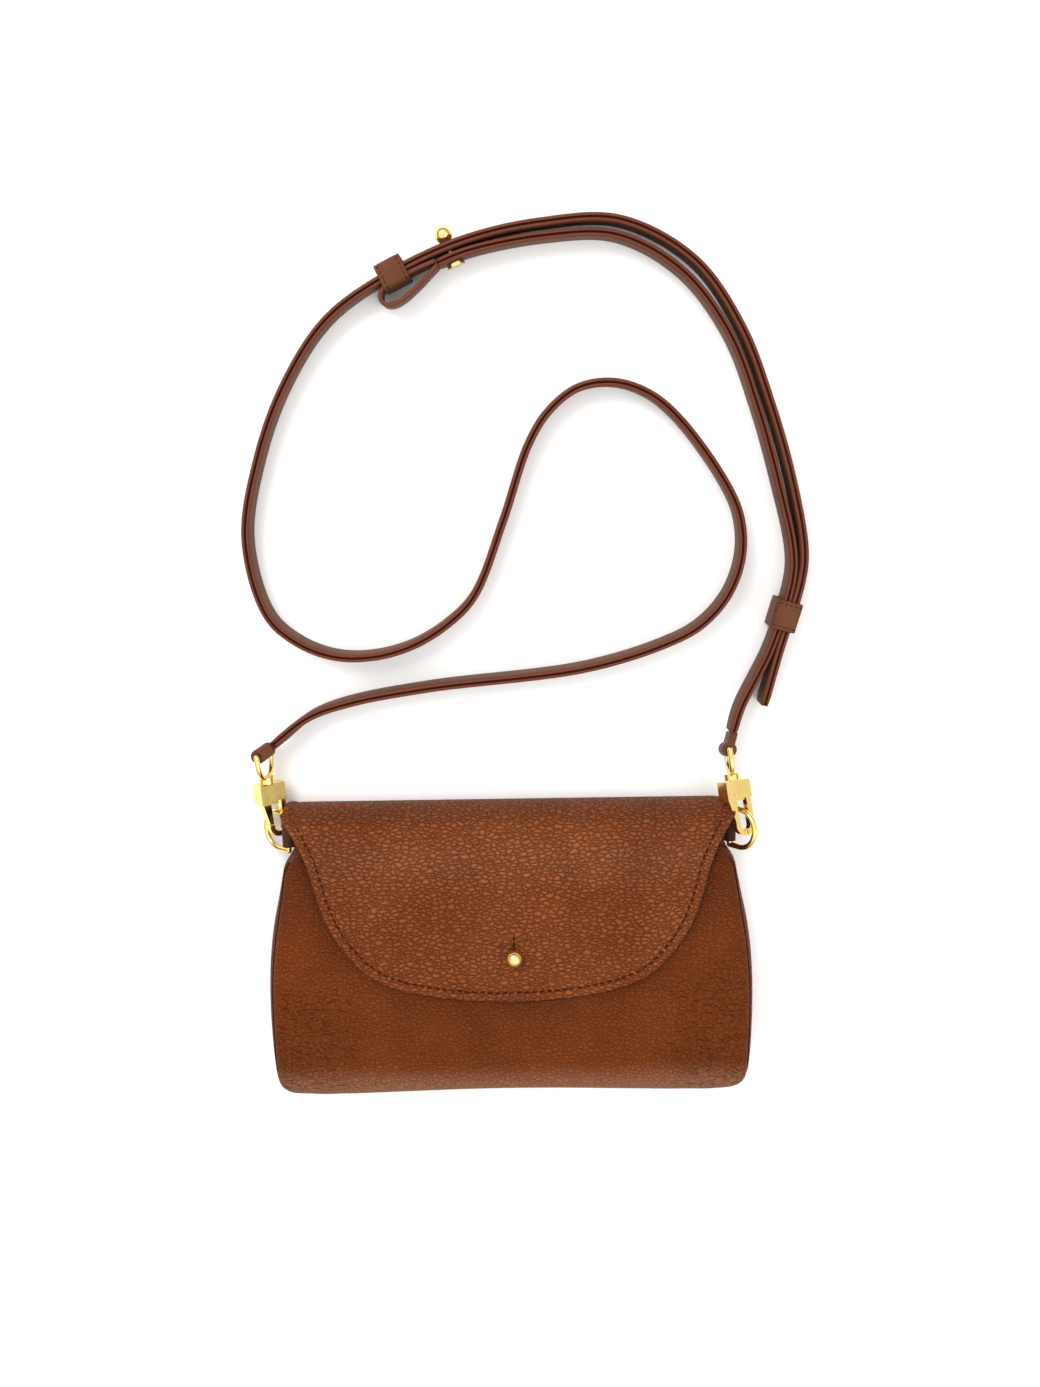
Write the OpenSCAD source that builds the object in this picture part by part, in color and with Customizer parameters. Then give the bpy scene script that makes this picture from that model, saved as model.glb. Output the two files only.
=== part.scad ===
// Small flap purse with a clip-on crossbody strap, lying on its back.
// +X runs along the width, +Y from the base to the mouth, +Z out of the front.
// The origin is the middle of the face that the purse rests on.

/* [Purse body] */
// Half width at the mouth
mouth_half = 86; // [80:1:92]
// Half width at the fullest height
belly_half = 98; // [94:1:104]
// Half width just above the base corners
base_half = 95; // [90:1:98]
// Height of the base edge below the middle
base_drop = 55; // [50:1:60]
// Height of the back edge of the mouth above the middle
back_rise = 60; // [56:1:64]
// Depth of the front face at the mouth
mouth_depth = 21; // [18:1:26]
// Slope of the front face, in degrees
front_slope = 7; // [5:0.5:9]
// Thickness of the outer leather
leather_t = 1.6; // [1.2:0.1:2]
// Thickness of the lining
lining_t = 0.7; // [0.5:0.1:1]

/* [Flap] */
// Half width of the flap at the fold
flap_half = 90; // [84:1:92]
// Half width of the flap's rounded tongue
tongue_half = 79; // [74:1:84]
// Length of the flap's rounded tongue
tongue_reach = 56; // [50:1:58]
// Gap between the closed flap and the front
flap_gap = 1; // [0.8:0.1:1.5]

/* [Closure stud] */
// Diameter of the ball
ball_d = 7; // [6:0.5:8]
// Diameter of the neck
neck_d = 3.4; // [3:0.2:4]

/* [Rings and hooks] */
// Inner width of a ring
ring_inner = 13.4; // [12:0.2:14]
// Diameter of the ring wire
ring_wire = 2.2; // [2:0.1:2.4]
// Straight length of a ring's legs
ring_leg = 5; // [4:0.5:6]
// Diameter of the eye wire
eye_wire = 2.2; // [2:0.1:2.4]
// Thickness of the hook and its gate
hook_t = 2.8; // [2.4:0.1:3]

/* [Strap] */
// Width of the strap, which stands on its edge
strap_w = 12; // [11:0.5:13]
// Thickness of the two-layer strap
strap_t = 3.2; // [2.8:0.1:3.2]
// Thickness of one leather layer
layer_t = 1.6; // [1.4:0.1:1.7]

/* [Hidden] */
$fn = 48;

mouth_y = 45;
belly_y = -18;
corner_r = 8;
tall = 60;
leather = [0.50, 0.28, 0.17];
suede = [0.42, 0.25, 0.16];
gold = [0.85, 0.66, 0.25];

// Places of the hardware: ring bars, hook axes and the stud
ring_x = 88.6;
ring_y = 50.5;
ring_z = 11.8;
ring_tilt_left = 38;
ring_tilt_right = -50;
ring_r = (ring_inner + ring_wire) / 2;
tab_w = 12;
tab_t = 1.2;
hook_left_at = [-95.2, 58.2, 9.6];
hook_left_turn = [0, 0, 5];
hook_right_at = [90.5, 58.3, 17.3];
hook_right_turn = [-12.3, 0, 8];
hook_roll_left = 40;
hook_roll_right = 25;
eye_reach = 24.5;
eye_half = strap_w / 2 + 1.4;
eye_leg = 2.9;
stud_x = 1.5;
stud_back = -42.4;
tongue_y = 39;
hinge_y = 12.5;
hinge_z = 1.65 + flap_gap;

// Keepers: middle point, heading and what they hold
keeper_up_at = [-39.8, 265.2, 7.6];
keeper_up_heading = 25.8;
keeper_low_at = [109, 135, 7.6];
keeper_low_heading = 73.86;
keeper_wall = 1.3;
strap_stud_at = [-18.7, 274.1, 7.2];
strap_stud_heading = 22.9;

// Routes of the two strap halves, as the middle of the strap
long_route = [[-91.7, 86.8, 9.6], [-78.2, 97, 7], [-63.2, 102.3, 6.1], [-31.2, 108, 6.1], [30.8, 115, 6.1],
    [61.8, 124, 6.1], [76.3, 131.5, 6.1], [86.8, 143.5, 6.1], [91.8, 158.5, 6.1], [90.8, 173.5, 6.1],
    [84.8, 186.8, 6.1], [67.8, 210, 6.1], [56.3, 219.8, 6.1], [42.8, 224.5, 6.1], [28.8, 222.7, 6.1],
    [17.5, 214, 6.1], [9.8, 201.8, 6.1], [-0.2, 173.3, 6.1], [-12.2, 144, 6.1], [-23.2, 133, 6.1],
    [-36.9, 125, 6.1], [-51.9, 121, 6.1], [-67.2, 121.3, 6.1], [-81.5, 127, 6.1], [-92.6, 137.6, 6.1],
    [-99.5, 167, 6.1], [-93.7, 196.7, 6.1], [-82.2, 224.7, 6.1], [-64.8, 249, 6.3],
    [-39.8, 265.2, 7.6], [-12.8, 276.6, 7], [15.4, 282.5, 6.1], [44.8, 283, 6.1], [72.3, 268.6, 6.1],
    [90.2, 244.3, 6.1], [101.6, 216.4, 6.1], [110.5, 187.6, 6.1], [115.8, 160, 6.8],
    [114.7, 148, 7.6], [106.9, 121, 7.6], [101.6, 99.2, 6.2]];
short_route = [[88.6, 89.2, 11.4], [92, 99, 8.9], [98.1, 111, 7.8], [103.3, 122, 7.6],
    [111.1, 149, 7.6], [111.4, 160, 6.8], [105.4, 186, 6.1], [97.1, 213.7, 6.1], [85.8, 241.7, 6.1],
    [67.8, 264.6, 6.1], [43.5, 277.6, 6.1], [16.1, 277.6, 6.1], [-11.5, 272.6, 7], [-23.2, 268.3, 7.3]];

// Half width of the body at height y
function side_half(y) = y > belly_y
    ? belly_half - (belly_half - mouth_half) * (1 - cos(180 * pow(min(1, (y - belly_y) / (mouth_y - belly_y)), 1.3))) / 2
    : belly_half - (belly_half - base_half) * (1 - cos(90 * (belly_y - y) / (base_drop + belly_y)));

function body_side(inset) = let (r = corner_r - inset, cy = -base_drop + corner_r)
    concat(
        [for (a = [-90 : 15 : -15]) [side_half(cy) - corner_r + r * cos(a), cy + r * sin(a)]],
        [for (y = [cy : 7 : mouth_y]) [side_half(y) - inset, y]],
        [[mouth_half - inset, mouth_y + 3], [mouth_half - inset, back_rise + 4]]);

function mirrored(points) = [for (i = [len(points) - 1 : -1 : 0]) [-points[i][0], points[i][1]]];

module body_outline(inset) {
    polygon(concat(body_side(inset), mirrored(body_side(inset))));
}

// Flap outline, rounded to a broad tongue below the mouth
function flap_edge(inset) = let (a = tongue_half - inset, b = tongue_reach - inset, n = 2.5)
    concat([for (t = [0 : 6 : 84]) let (s = pow(abs(sin(t)), 2 / n), c = pow(abs(cos(t)), 2 / n))
            [a * s, tongue_y - b * c]],
        [[a, tongue_y], [flap_half - 5.5 - inset, tongue_y + 10], [flap_half - inset, tongue_y + 23]]);

module flap_outline(inset) {
    edge = flap_edge(inset);
    polygon(concat(edge, mirrored([for (p = edge) if (p[0] > 0.01) p])));
}

// Frame of the front face: y runs along it towards the mouth, z stands out of it
module on_front() {
    translate([0, mouth_y, mouth_depth]) rotate([-front_slope, 0, 0]) children();
}

module across(points, half) {
    rotate([90, 0, 90]) translate([0, 0, -half]) linear_extrude(2 * half) polygon(points);
}

module front_slab(low, high, from, to) {
    on_front() translate([-110, from, low]) cube([220, to - from, high - low]);
}

// Space between the back panel and the front panel
module between_panels(inset) {
    depth_at = function (y) mouth_depth + (mouth_y - y) * tan(front_slope) - leather_t / cos(front_slope) - 0.004;
    across([[-base_drop - 1, leather_t + inset], [back_rise - 2, leather_t + inset],
        [back_rise - 2, depth_at(back_rise - 2) - inset],
        [-base_drop - 1, depth_at(-base_drop - 1) - inset]], 110);
}

module back_panel() {
    color(leather) {
        intersection() {
            linear_extrude(leather_t) body_outline(0);
            translate([-120, -70, 0]) cube([240, 70 + back_rise, leather_t]);
        }
        across([[back_rise - leather_t, leather_t], [back_rise, leather_t], [back_rise + 0.6, 8],
            [back_rise - 1, 19.6], [back_rise - 2.6, 19.6], [back_rise - 1, 8]], mouth_half);
    }
}

module front_panel() {
    color(leather) difference() {
        intersection() {
            front_slab(-leather_t, 0, -104, 0);
            linear_extrude(tall) body_outline(0);
        }
        on_front() translate([stud_x, stud_back, -5]) cylinder(h = 10, d = neck_d + 0.2);
    }
}

// Edge wall of the body between two heights
module edge_wall(from, to) {
    intersection() {
        between_panels(0);
        linear_extrude(tall) difference() {
            body_outline(0);
            body_outline(leather_t);
        }
        translate([-120, from, 0]) cube([240, to - from, tall]);
    }
}

module base_panel() {
    color(leather) edge_wall(-base_drop - 2, -base_drop + corner_r);
}

module gusset(side) {
    color(leather) difference() {
        intersection() {
            edge_wall(-base_drop + corner_r, back_rise - 3);
            translate([side > 0 ? 60 : -160, -100, 0]) cube([100, 200, tall]);
        }
        translate([side * mouth_half, ring_y, ring_z])
            cube([10, tab_w, 2 * tab_t], center = true);
    }
}

module gusset_left() { gusset(-1); }
module gusset_right() { gusset(1); }

// One open-topped inner bag
module lining() {
    color(suede) difference() {
        intersection() {
            between_panels(0.02);
            linear_extrude(tall) body_outline(leather_t + 0.02);
            translate([-120, -base_drop + leather_t + 0.02, 0]) cube([240, base_drop + 22, tall]);
        }
        intersection() {
            between_panels(lining_t);
            linear_extrude(tall) body_outline(leather_t + lining_t);
            translate([-120, -base_drop + leather_t + lining_t, 0]) cube([240, 200, tall]);
        }
        on_front() translate([stud_x, stud_back, -6]) cylinder(h = 10, d = neck_d + 0.2);
    }
}

module front_facing() {
    color(leather) intersection() {
        front_slab(-leather_t - 1.2, -leather_t, -20, 0);
        linear_extrude(tall) body_outline(leather_t + 1);
    }
}

module back_facing() {
    color(leather) intersection() {
        translate([-110, 24, leather_t]) cube([220, back_rise - leather_t - 24, 0.9]);
        linear_extrude(tall) body_outline(leather_t + 1);
    }
}

// Leather loop that holds a ring's bar, sewn through the gusset
module tab(side) {
    color(leather) translate([side * ring_x, ring_y, ring_z]) difference() {
        union() {
            rotate([90, 0, 0]) cylinder(h = tab_w, r = ring_wire / 2 + 0.1 + tab_t, center = true);
            translate([-side * 4.2, 0, 0]) cube([8.4, tab_w, 2 * tab_t], center = true);
        }
        rotate([90, 0, 0]) cylinder(h = tab_w + 2, r = ring_wire / 2 + 0.1, center = true);
    }
}

module tab_left() { tab(-1); }
module tab_right() { tab(1); }

// Wire loop with a straight bar along Y and a round end towards +X
module wire_loop(r, leg, wire) {
    rotate([90, 0, 0]) cylinder(h = 2 * r, d = wire, center = true);
    for (s = [-1, 1]) translate([0, s * r, 0]) {
        sphere(d = wire);
        rotate([0, 90, 0]) cylinder(h = leg, d = wire);
    }
    translate([leg, 0, 0]) rotate([0, 0, -90]) rotate_extrude(angle = 180)
        translate([r, 0]) circle(d = wire);
}

module ring() {
    wire_loop(ring_r, ring_leg, ring_wire);
}

module ring_left() {
    color(gold) translate([-ring_x, ring_y, ring_z]) mirror([1, 0, 0]) rotate([0, ring_tilt_left, 0]) ring();
}

module ring_right() {
    color(gold) translate([ring_x, ring_y, ring_z]) rotate([0, ring_tilt_right, 0]) ring();
}

// Ball stud on the front, clamped by a screw from inside
module stud() {
    color(gold) on_front() translate([stud_x, stud_back, 0]) difference() {
        union() {
            cylinder(h = 0.7, d = 7.4);
            cylinder(h = flap_gap + 5, d = neck_d);
            translate([0, 0, flap_gap + 2.4 + ball_d / 2 - 0.3]) sphere(d = ball_d);
        }
        translate([0, 0, -1]) cylinder(h = 5, d = 2.1);
    }
}

module stud_screw() {
    color(gold) on_front() translate([stud_x, stud_back, 0]) difference() {
        union() {
            translate([0, 0, -leather_t - lining_t - 0.1]) cylinder(h = leather_t + lining_t + 3.5, d = 2);
            translate([0, 0, -leather_t - lining_t - 2.4]) cylinder(h = 1.3, d = 7);
            translate([0, 0, -leather_t - lining_t - 1.2]) cylinder(h = 1.2, d = 2);
        }
        translate([-4, -0.4, -leather_t - lining_t - 2.5]) cube([8, 0.8, 0.7]);
    }
}

module stud_patch() {
    color(suede) on_front() translate([stud_x, stud_back, -leather_t - lining_t - 1.1]) difference() {
        cylinder(h = 1, d = 15);
        translate([0, 0, -1]) cylinder(h = 3, d = 2.2);
    }
}

module flap_layer(low, high, inset, bead) {
    difference() {
        union() {
            intersection() {
                front_slab(low, high, -80, hinge_y - (bead ? 0 : 3));
                linear_extrude(tall) flap_outline(inset);
            }
            if (bead) on_front() translate([-flap_half, hinge_y, hinge_z])
                rotate([0, 90, 0]) cylinder(h = 2 * flap_half, r = 0.75);
        }
        on_front() translate([stud_x, stud_back, -5]) cylinder(h = 20, d = ball_d + 1.8);
    }
}

module flap_outer() {
    color(leather) flap_layer(flap_gap + 0.9, flap_gap + 2.4, 0, true);
}

module flap_lining() {
    color(suede) flap_layer(flap_gap, flap_gap + 0.9, 0.4, false);
}

// Swivel eye: wire bail, collar and the headed post that turns in the hook
module eye() {
    translate([0, eye_reach, 0]) rotate([0, 90, 0]) rotate([0, 0, -90])
        wire_loop(eye_half, eye_leg, eye_wire);
    translate([0, 12.2, 0]) rotate([-90, 0, 0]) cylinder(h = 2.4, d = 6.4);
    translate([0, 9.2, 0]) rotate([-90, 0, 0]) cylinder(h = 3.4, d = 2.4);
    translate([0, 9.2, 0]) rotate([-90, 0, 0]) cylinder(h = 1, d = 3.8);
}

gate_at = [-2, 6.6, 0];

module hook() {
    difference() {
        union() {
            translate([-5.2, 4, -3.4]) cube([7.2, 7.9, 6.8]);
            translate([2, 4.8, -2.6]) cube([4.2, 7, 5.2]);
        }
        translate([-4, 2, -hook_t / 2 - 0.1]) cube([4.2, 6.6, hook_t + 0.2]);
        translate([0, 9.1, 0]) rotate([-90, 0, 0]) cylinder(h = 1.2, d = 4);
        translate([0, 9.1, 0]) rotate([-90, 0, 0]) cylinder(h = 4, d = 2.5);
        translate(gate_at) cylinder(h = 10, d = 1.1, center = true);
    }
    translate([0, 0, -hook_t / 2]) {
        linear_extrude(hook_t) polygon([[4.2, 4.8], [6.2, 4.8], [6.2, -6], [4.2, -6]]);
        linear_extrude(hook_t) difference() {
            translate([2.05, -6]) circle(r = 4.15);
            translate([2.05, -6]) circle(r = 2.15);
            translate([-5, -6]) square([12, 8]);
        }
        linear_extrude(hook_t) polygon([[-2.1, -6], [-0.1, -6], [-0.1, -5], [-1.9, -5]]);
    }
}

module gate() {
    difference() {
        union() {
            translate(gate_at) cylinder(h = hook_t, d = 3.6, center = true);
            translate([0, 0, -hook_t / 2]) linear_extrude(hook_t)
                polygon([[-3.8, 6.2], [-0.2, 6.2], [-0.4, 3], [-0.3, -4.7], [-1.9, -4.7], [-3.6, 3]]);
        }
        translate(gate_at) cylinder(h = 10, d = 1.1, center = true);
        translate(gate_at) cylinder(h = 1.2, d = 2.6, center = true);
    }
}

module gate_pin() {
    translate(gate_at) cylinder(h = 7, d = 1, center = true);
}

module gate_spring() {
    translate(gate_at) rotate_extrude() translate([0.95, 0]) square([0.5, 1], center = true);
}

module place_left(roll) {
    color(gold) translate(hook_left_at) rotate(hook_left_turn) rotate([0, roll, 0]) children();
}

module place_right(roll) {
    color(gold) translate(hook_right_at) rotate(hook_right_turn) rotate([0, roll, 0]) children();
}

module eye_left() { place_left(-10) eye(); }
module hook_left() { place_left(hook_roll_left) hook(); }
module gate_left() { place_left(hook_roll_left) gate(); }
module gate_pin_left() { place_left(hook_roll_left) gate_pin(); }
module gate_spring_left() { place_left(hook_roll_left) gate_spring(); }
module eye_right() { place_right(0) eye(); }
module hook_right() { place_right(hook_roll_right) hook(); }
module gate_right() { place_right(hook_roll_right) gate(); }
module gate_pin_right() { place_right(hook_roll_right) gate_pin(); }
module gate_spring_right() { place_right(hook_roll_right) gate_spring(); }

// Strap end folded round the eye's bar, with the tail that meets the strap
module end_loop(heading, reach) {
    translate([0, 0, -strap_w / 2]) linear_extrude(strap_w) difference() {
        union() {
            circle(d = eye_wire + 0.4 + 2 * layer_t);
            rotate(heading) translate([0, -strap_t / 2]) square([reach, strap_t]);
        }
        circle(d = eye_wire + 0.4);
    }
}

module end_loop_left() {
    color(leather) translate(hook_left_at) rotate(hook_left_turn) rotate([0, -10, 0])
        translate([0, eye_reach, 0]) end_loop(31.4, 7);
}

module end_loop_right() {
    color(leather) translate(hook_right_at) rotate(hook_right_turn)
        translate([0, eye_reach, 0]) end_loop(66, 7);
}

// Rounded flat section of the strap in its own plane: across, up
strap_ring = [for (s = [[1, -1], [1, 1], [-1, 1], [-1, -1]]) each s[0] * s[1] < 0
    ? [[s[0] * (strap_t / 2 - 0.6), s[1] * strap_w / 2], [s[0] * strap_t / 2, s[1] * (strap_w / 2 - 0.6)]]
    : [[s[0] * strap_t / 2, s[1] * (strap_w / 2 - 0.6)], [s[0] * (strap_t / 2 - 0.6), s[1] * strap_w / 2]]];

function flat_unit(v) = [v[0], v[1]] / norm([v[0], v[1]]);

function across_at(route, i) = let (
    before = flat_unit(route[max(i, 1)] - route[max(i, 1) - 1]),
    after = flat_unit(route[min(i, len(route) - 2) + 1] - route[min(i, len(route) - 2)]),
    mid = flat_unit(before + after))
    [mid[1], -mid[0]] / max(0.5, before * mid);

module strap(route) {
    sides = len(strap_ring);
    last = len(route) - 1;
    points = [for (i = [0 : last]) let (n = across_at(route, i)) for (c = strap_ring)
        route[i] + [n[0] * c[0], n[1] * c[0], c[1]]];
    walls = [for (i = [0 : last - 1]) for (k = [0 : sides - 1]) let (m = (k + 1) % sides)
        each [[i * sides + k, i * sides + m, (i + 1) * sides + m],
            [i * sides + k, (i + 1) * sides + m, (i + 1) * sides + k]]];
    caps = [[for (k = [sides - 1 : -1 : 0]) k], [for (k = [0 : sides - 1]) last * sides + k]];
    polyhedron(points, concat(walls, caps));
}

module strap_long() { color(leather) strap(long_route); }
module strap_short() { color(leather) strap(short_route); }

// Flat band of constant thickness along points in one plane
function band_normal(p, i) = let (
    v = flat_unit(p[min(i + 1, len(p) - 1)] - p[max(i - 1, 0)])) [v[1], -v[0]];

module band(p, t) {
    polygon(concat([for (i = [0 : len(p) - 1]) p[i] + band_normal(p, i) * t / 2],
        [for (i = [len(p) - 1 : -1 : 0]) p[i] - band_normal(p, i) * t / 2]));
}

// Short strap's end folded back into the eye that traps the upper keeper
module return_loop() {
    color(leather) translate(keeper_up_at) rotate([0, 0, keeper_up_heading]) translate([0, 0, -strap_w / 2])
        linear_extrude(strap_w) band([[16, -3.4], [9, -2.9], [0, -2.8], [-5, -3.2], [-7.4, -4.8], [-8.2, -7],
            [-7, -9.4], [-4, -10.4], [0, -10.1], [6, -8.6], [16, -5.2]], layer_t);
}

// Leather sleeve round the straps: inner span from low to high across them
module keeper(low, high, length) {
    tall_in = strap_w + 0.5;
    difference() {
        translate([-length / 2, low - keeper_wall, -tall_in / 2 - keeper_wall])
            cube([length, high - low + 2 * keeper_wall, tall_in + 2 * keeper_wall]);
        translate([-length, low, -tall_in / 2]) cube([2 * length, high - low, tall_in]);
    }
}

module keeper_upper() {
    color(leather) translate(keeper_up_at) rotate([0, 0, keeper_up_heading]) keeper(-4, 2, 9);
}

module keeper_lower() {
    color(leather) translate(keeper_low_at) rotate([0, 0, keeper_low_heading]) keeper(-3.9, 3.9, 11.5);
}

module on_strap_stud() {
    translate(strap_stud_at) rotate([-90, 0, strap_stud_heading]) children();
}

module strap_stud() {
    color(gold) on_strap_stud() difference() {
        union() {
            translate([0, 0, -3]) cylinder(h = 7, d = 2.8);
            translate([0, 0, 5.2]) sphere(d = 6.6);
        }
        translate([0, 0, -4]) cylinder(h = 5, d = 1.9);
    }
}

module strap_stud_screw() {
    color(gold) on_strap_stud() difference() {
        union() {
            translate([0, 0, -6.8]) cylinder(h = 7, d = 1.8);
            translate([0, 0, -7]) cylinder(h = 1.2, d = 7);
        }
        translate([-4, -0.4, -7.1]) cube([8, 0.8, 0.6]);
    }
}

back_panel();
front_panel();
base_panel();
gusset_left();
gusset_right();
lining();
front_facing();
back_facing();
tab_left();
tab_right();
stud();
stud_screw();
stud_patch();
flap_outer();
flap_lining();
ring_left();
ring_right();
eye_left();
hook_left();
gate_left();
gate_pin_left();
gate_spring_left();
eye_right();
hook_right();
gate_right();
gate_pin_right();
gate_spring_right();
strap_long();
strap_short();
end_loop_left();
end_loop_right();
return_loop();
keeper_upper();
keeper_lower();
strap_stud();
strap_stud_screw();
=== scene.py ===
import math
import random

import bmesh
import bpy
import numpy as np
from mathutils import Matrix, Vector


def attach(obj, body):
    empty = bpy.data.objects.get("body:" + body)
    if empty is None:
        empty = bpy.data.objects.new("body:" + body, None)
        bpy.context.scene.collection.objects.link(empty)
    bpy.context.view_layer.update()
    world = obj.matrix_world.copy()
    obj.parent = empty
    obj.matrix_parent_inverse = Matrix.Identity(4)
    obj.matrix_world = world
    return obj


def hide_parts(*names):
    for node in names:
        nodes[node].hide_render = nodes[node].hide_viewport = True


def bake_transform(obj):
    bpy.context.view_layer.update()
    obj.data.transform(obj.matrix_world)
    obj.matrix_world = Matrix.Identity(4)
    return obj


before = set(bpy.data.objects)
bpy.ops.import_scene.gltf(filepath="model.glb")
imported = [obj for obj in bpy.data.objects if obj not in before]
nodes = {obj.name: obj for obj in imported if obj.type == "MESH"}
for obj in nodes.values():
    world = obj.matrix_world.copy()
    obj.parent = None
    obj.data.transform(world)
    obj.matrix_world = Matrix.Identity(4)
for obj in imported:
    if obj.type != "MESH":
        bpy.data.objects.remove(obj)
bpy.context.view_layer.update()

rng = random.Random(7)
MM = 0.001


# ---------------------------------------------------------------- materials
def srgb(r, g, b):
    """Linear colour of an 8-bit sRGB one."""
    def one(c):
        c /= 255
        return c / 12.92 if c <= 0.04045 else ((c + 0.055) / 1.055) ** 2.4

    return (one(r), one(g), one(b), 1.0)


def grey(level):
    return (level, level, level, 1.0)


class Nodes:
    """Short way to build a node material round its Principled shader."""

    def __init__(self, name):
        self.mat = bpy.data.materials.new(name)
        self.mat.use_nodes = True
        self.tree = self.mat.node_tree
        self.bsdf = self.tree.nodes["Principled BSDF"]
        self.coord = self.add("ShaderNodeTexCoord").outputs["Object"]

    def add(self, kind):
        return self.tree.nodes.new(kind)

    def link(self, a, b):
        self.tree.links.new(a, b)

    def fill(self, slot, value):
        """Give an input slot a number, a colour or another node's output."""
        if isinstance(value, (int, float, tuple)):
            slot.default_value = value
        else:
            self.link(value, slot)

    def noise(self, scale, detail):
        n = self.add("ShaderNodeTexNoise")
        n.inputs["Scale"].default_value = scale
        n.inputs["Detail"].default_value = detail
        self.link(self.coord, n.inputs["Vector"])
        return n.outputs["Fac"]

    def warped(self, scale, reach):
        """The object's coordinates, pushed about by up to reach metres."""
        noise = self.add("ShaderNodeTexNoise")
        noise.inputs["Scale"].default_value = scale
        self.link(self.coord, noise.inputs["Vector"])
        push = self.add("ShaderNodeVectorMath")
        push.operation = "SCALE"
        push.inputs["Scale"].default_value = reach
        self.link(noise.outputs["Color"], push.inputs[0])
        moved = self.add("ShaderNodeVectorMath")
        moved.operation = "ADD"
        self.link(self.coord, moved.inputs[0])
        self.link(push.outputs[0], moved.inputs[1])
        return moved.outputs[0]

    def cells(self, where, per_metre):
        """Distance from the edges of cells, with so many per metre along x, y and z."""
        stretch = self.add("ShaderNodeMapping")
        stretch.inputs["Scale"].default_value = per_metre
        self.link(where, stretch.inputs["Vector"])
        cells = self.add("ShaderNodeTexVoronoi")
        cells.feature = "DISTANCE_TO_EDGE"
        cells.inputs["Scale"].default_value = 1.0
        self.link(stretch.outputs["Vector"], cells.inputs["Vector"])
        return cells.outputs["Distance"]

    def attribute(self, name):
        a = self.add("ShaderNodeAttribute")
        a.attribute_name = name
        return a.outputs["Fac"]

    def ramp(self, fac, stops):
        r = self.add("ShaderNodeValToRGB")
        els = r.color_ramp.elements
        while len(els) < len(stops):
            els.new(0.5)
        for el, (position, level) in zip(els, stops):
            el.position = position
            el.color = grey(level)
        self.link(fac, r.inputs["Fac"])
        return r.outputs["Color"]

    def math(self, operation, *terms):
        m = self.add("ShaderNodeMath")
        m.operation = operation
        for slot, term in zip(m.inputs, terms):
            self.fill(slot, term)
        return m.outputs[0]

    def mix(self, fac, a, b, mode="MIX"):
        m = self.add("ShaderNodeMix")
        m.data_type = "RGBA"
        m.blend_type = mode
        for name, value in (("Factor", fac), ("A", a), ("B", b)):
            self.fill([s for s in m.inputs if s.name == name and s.enabled][0], value)
        return [s for s in m.outputs if s.enabled][0]

    def bump(self, height, distance, strength=1.0, under=None):
        b = self.add("ShaderNodeBump")
        b.inputs["Distance"].default_value = distance
        b.inputs["Strength"].default_value = strength
        self.link(height, b.inputs["Height"])
        if under is not None:
            self.link(under, b.inputs["Normal"])
        return b.outputs["Normal"]

    def finish(self, colour, normal, rough, spec, metallic=0.0):
        self.link(colour, self.bsdf.inputs["Base Color"])
        self.link(normal, self.bsdf.inputs["Normal"])
        self.bsdf.inputs["Roughness"].default_value = rough
        self.bsdf.inputs["Specular IOR Level"].default_value = spec
        self.bsdf.inputs["Metallic"].default_value = metallic
        return self.mat


# colour of the painted sheen, a painted highlight mixed into the leather
PAINTED_SHEEN_COLOUR = srgb(150, 108, 84)
WRINKLE_CELLS = (210, 400, 300)


def leather(name, lit, dark, crack_and_shade, cell, depth, rough=0.52, cracks=0.4, spec=0.1, wrinkles=0.0):
    """Pebbled leather: warped cells with cracks between them, over soft changes of tone.

    cell is the grain's cells per metre along x, y and z. depth and wrinkles are heights in mm.
    cracks is how far the gaps are stained. On the mesh, one attribute mixes in a painted sheen,
    another mixes in painted shade in the gaps' stain colour, and corner is where the wrinkles are.
    """
    n = Nodes(name)
    where = n.warped(260, 1.6 * MM)
    gaps = n.ramp(n.cells(where, cell), [(0.0, 0), (0.09, 0.55), (0.3, 1)])
    patches = n.ramp(n.noise(40, 2), [(0.3, 0.8), (0.7, 1)])
    height = n.mix(patches, grey(0.85), gaps)
    clean = n.math("MULTIPLY_ADD", height, cracks, 1 - cracks)
    fine = n.noise(2600, 2)
    tone = n.mix(n.ramp(n.noise(30, 3), [(0.35, 0), (0.65, 1)]), dark, lit)
    tone = n.mix(1.0, tone, n.math("MULTIPLY_ADD", fine, 0.16, 0.92), "MULTIPLY")
    # painted sheen and painted shade, mixed in where the mesh's attributes say; the gaps' stain
    # colour doubles as the painted shade
    tone = n.mix(n.attribute("painted_sheen"), tone, PAINTED_SHEEN_COLOUR)
    tone = n.mix(n.attribute("painted_shade"), tone, crack_and_shade)
    normal = n.bump(height, depth * MM, 0.8)
    normal = n.bump(fine, 0.05 * MM, 0.5, normal)
    if wrinkles:
        puckers = n.ramp(n.cells(where, WRINKLE_CELLS), [(0.0, 0), (0.3, 1)])
        puckers = n.math("MULTIPLY", puckers, n.attribute("corner"))
        normal = n.bump(puckers, wrinkles * MM, 1.0, normal)
    return n.finish(n.mix(clean, crack_and_shade, tone), normal, rough, spec)


def plain(name, a, b, scale, rough, spec=0.4, metallic=0.0, waves=0.0):
    """Fine mottle between two colours; waves is the height in mm of slow swells in the surface."""
    n = Nodes(name)
    mottle = n.noise(scale, 3)
    normal = n.bump(mottle, 0.03 * MM, 0.4)
    if waves:
        normal = n.bump(n.noise(150, 1), waves * MM, 1.0, normal)
    return n.finish(n.mix(mottle, a, b), normal, rough, spec, metallic)


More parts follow.
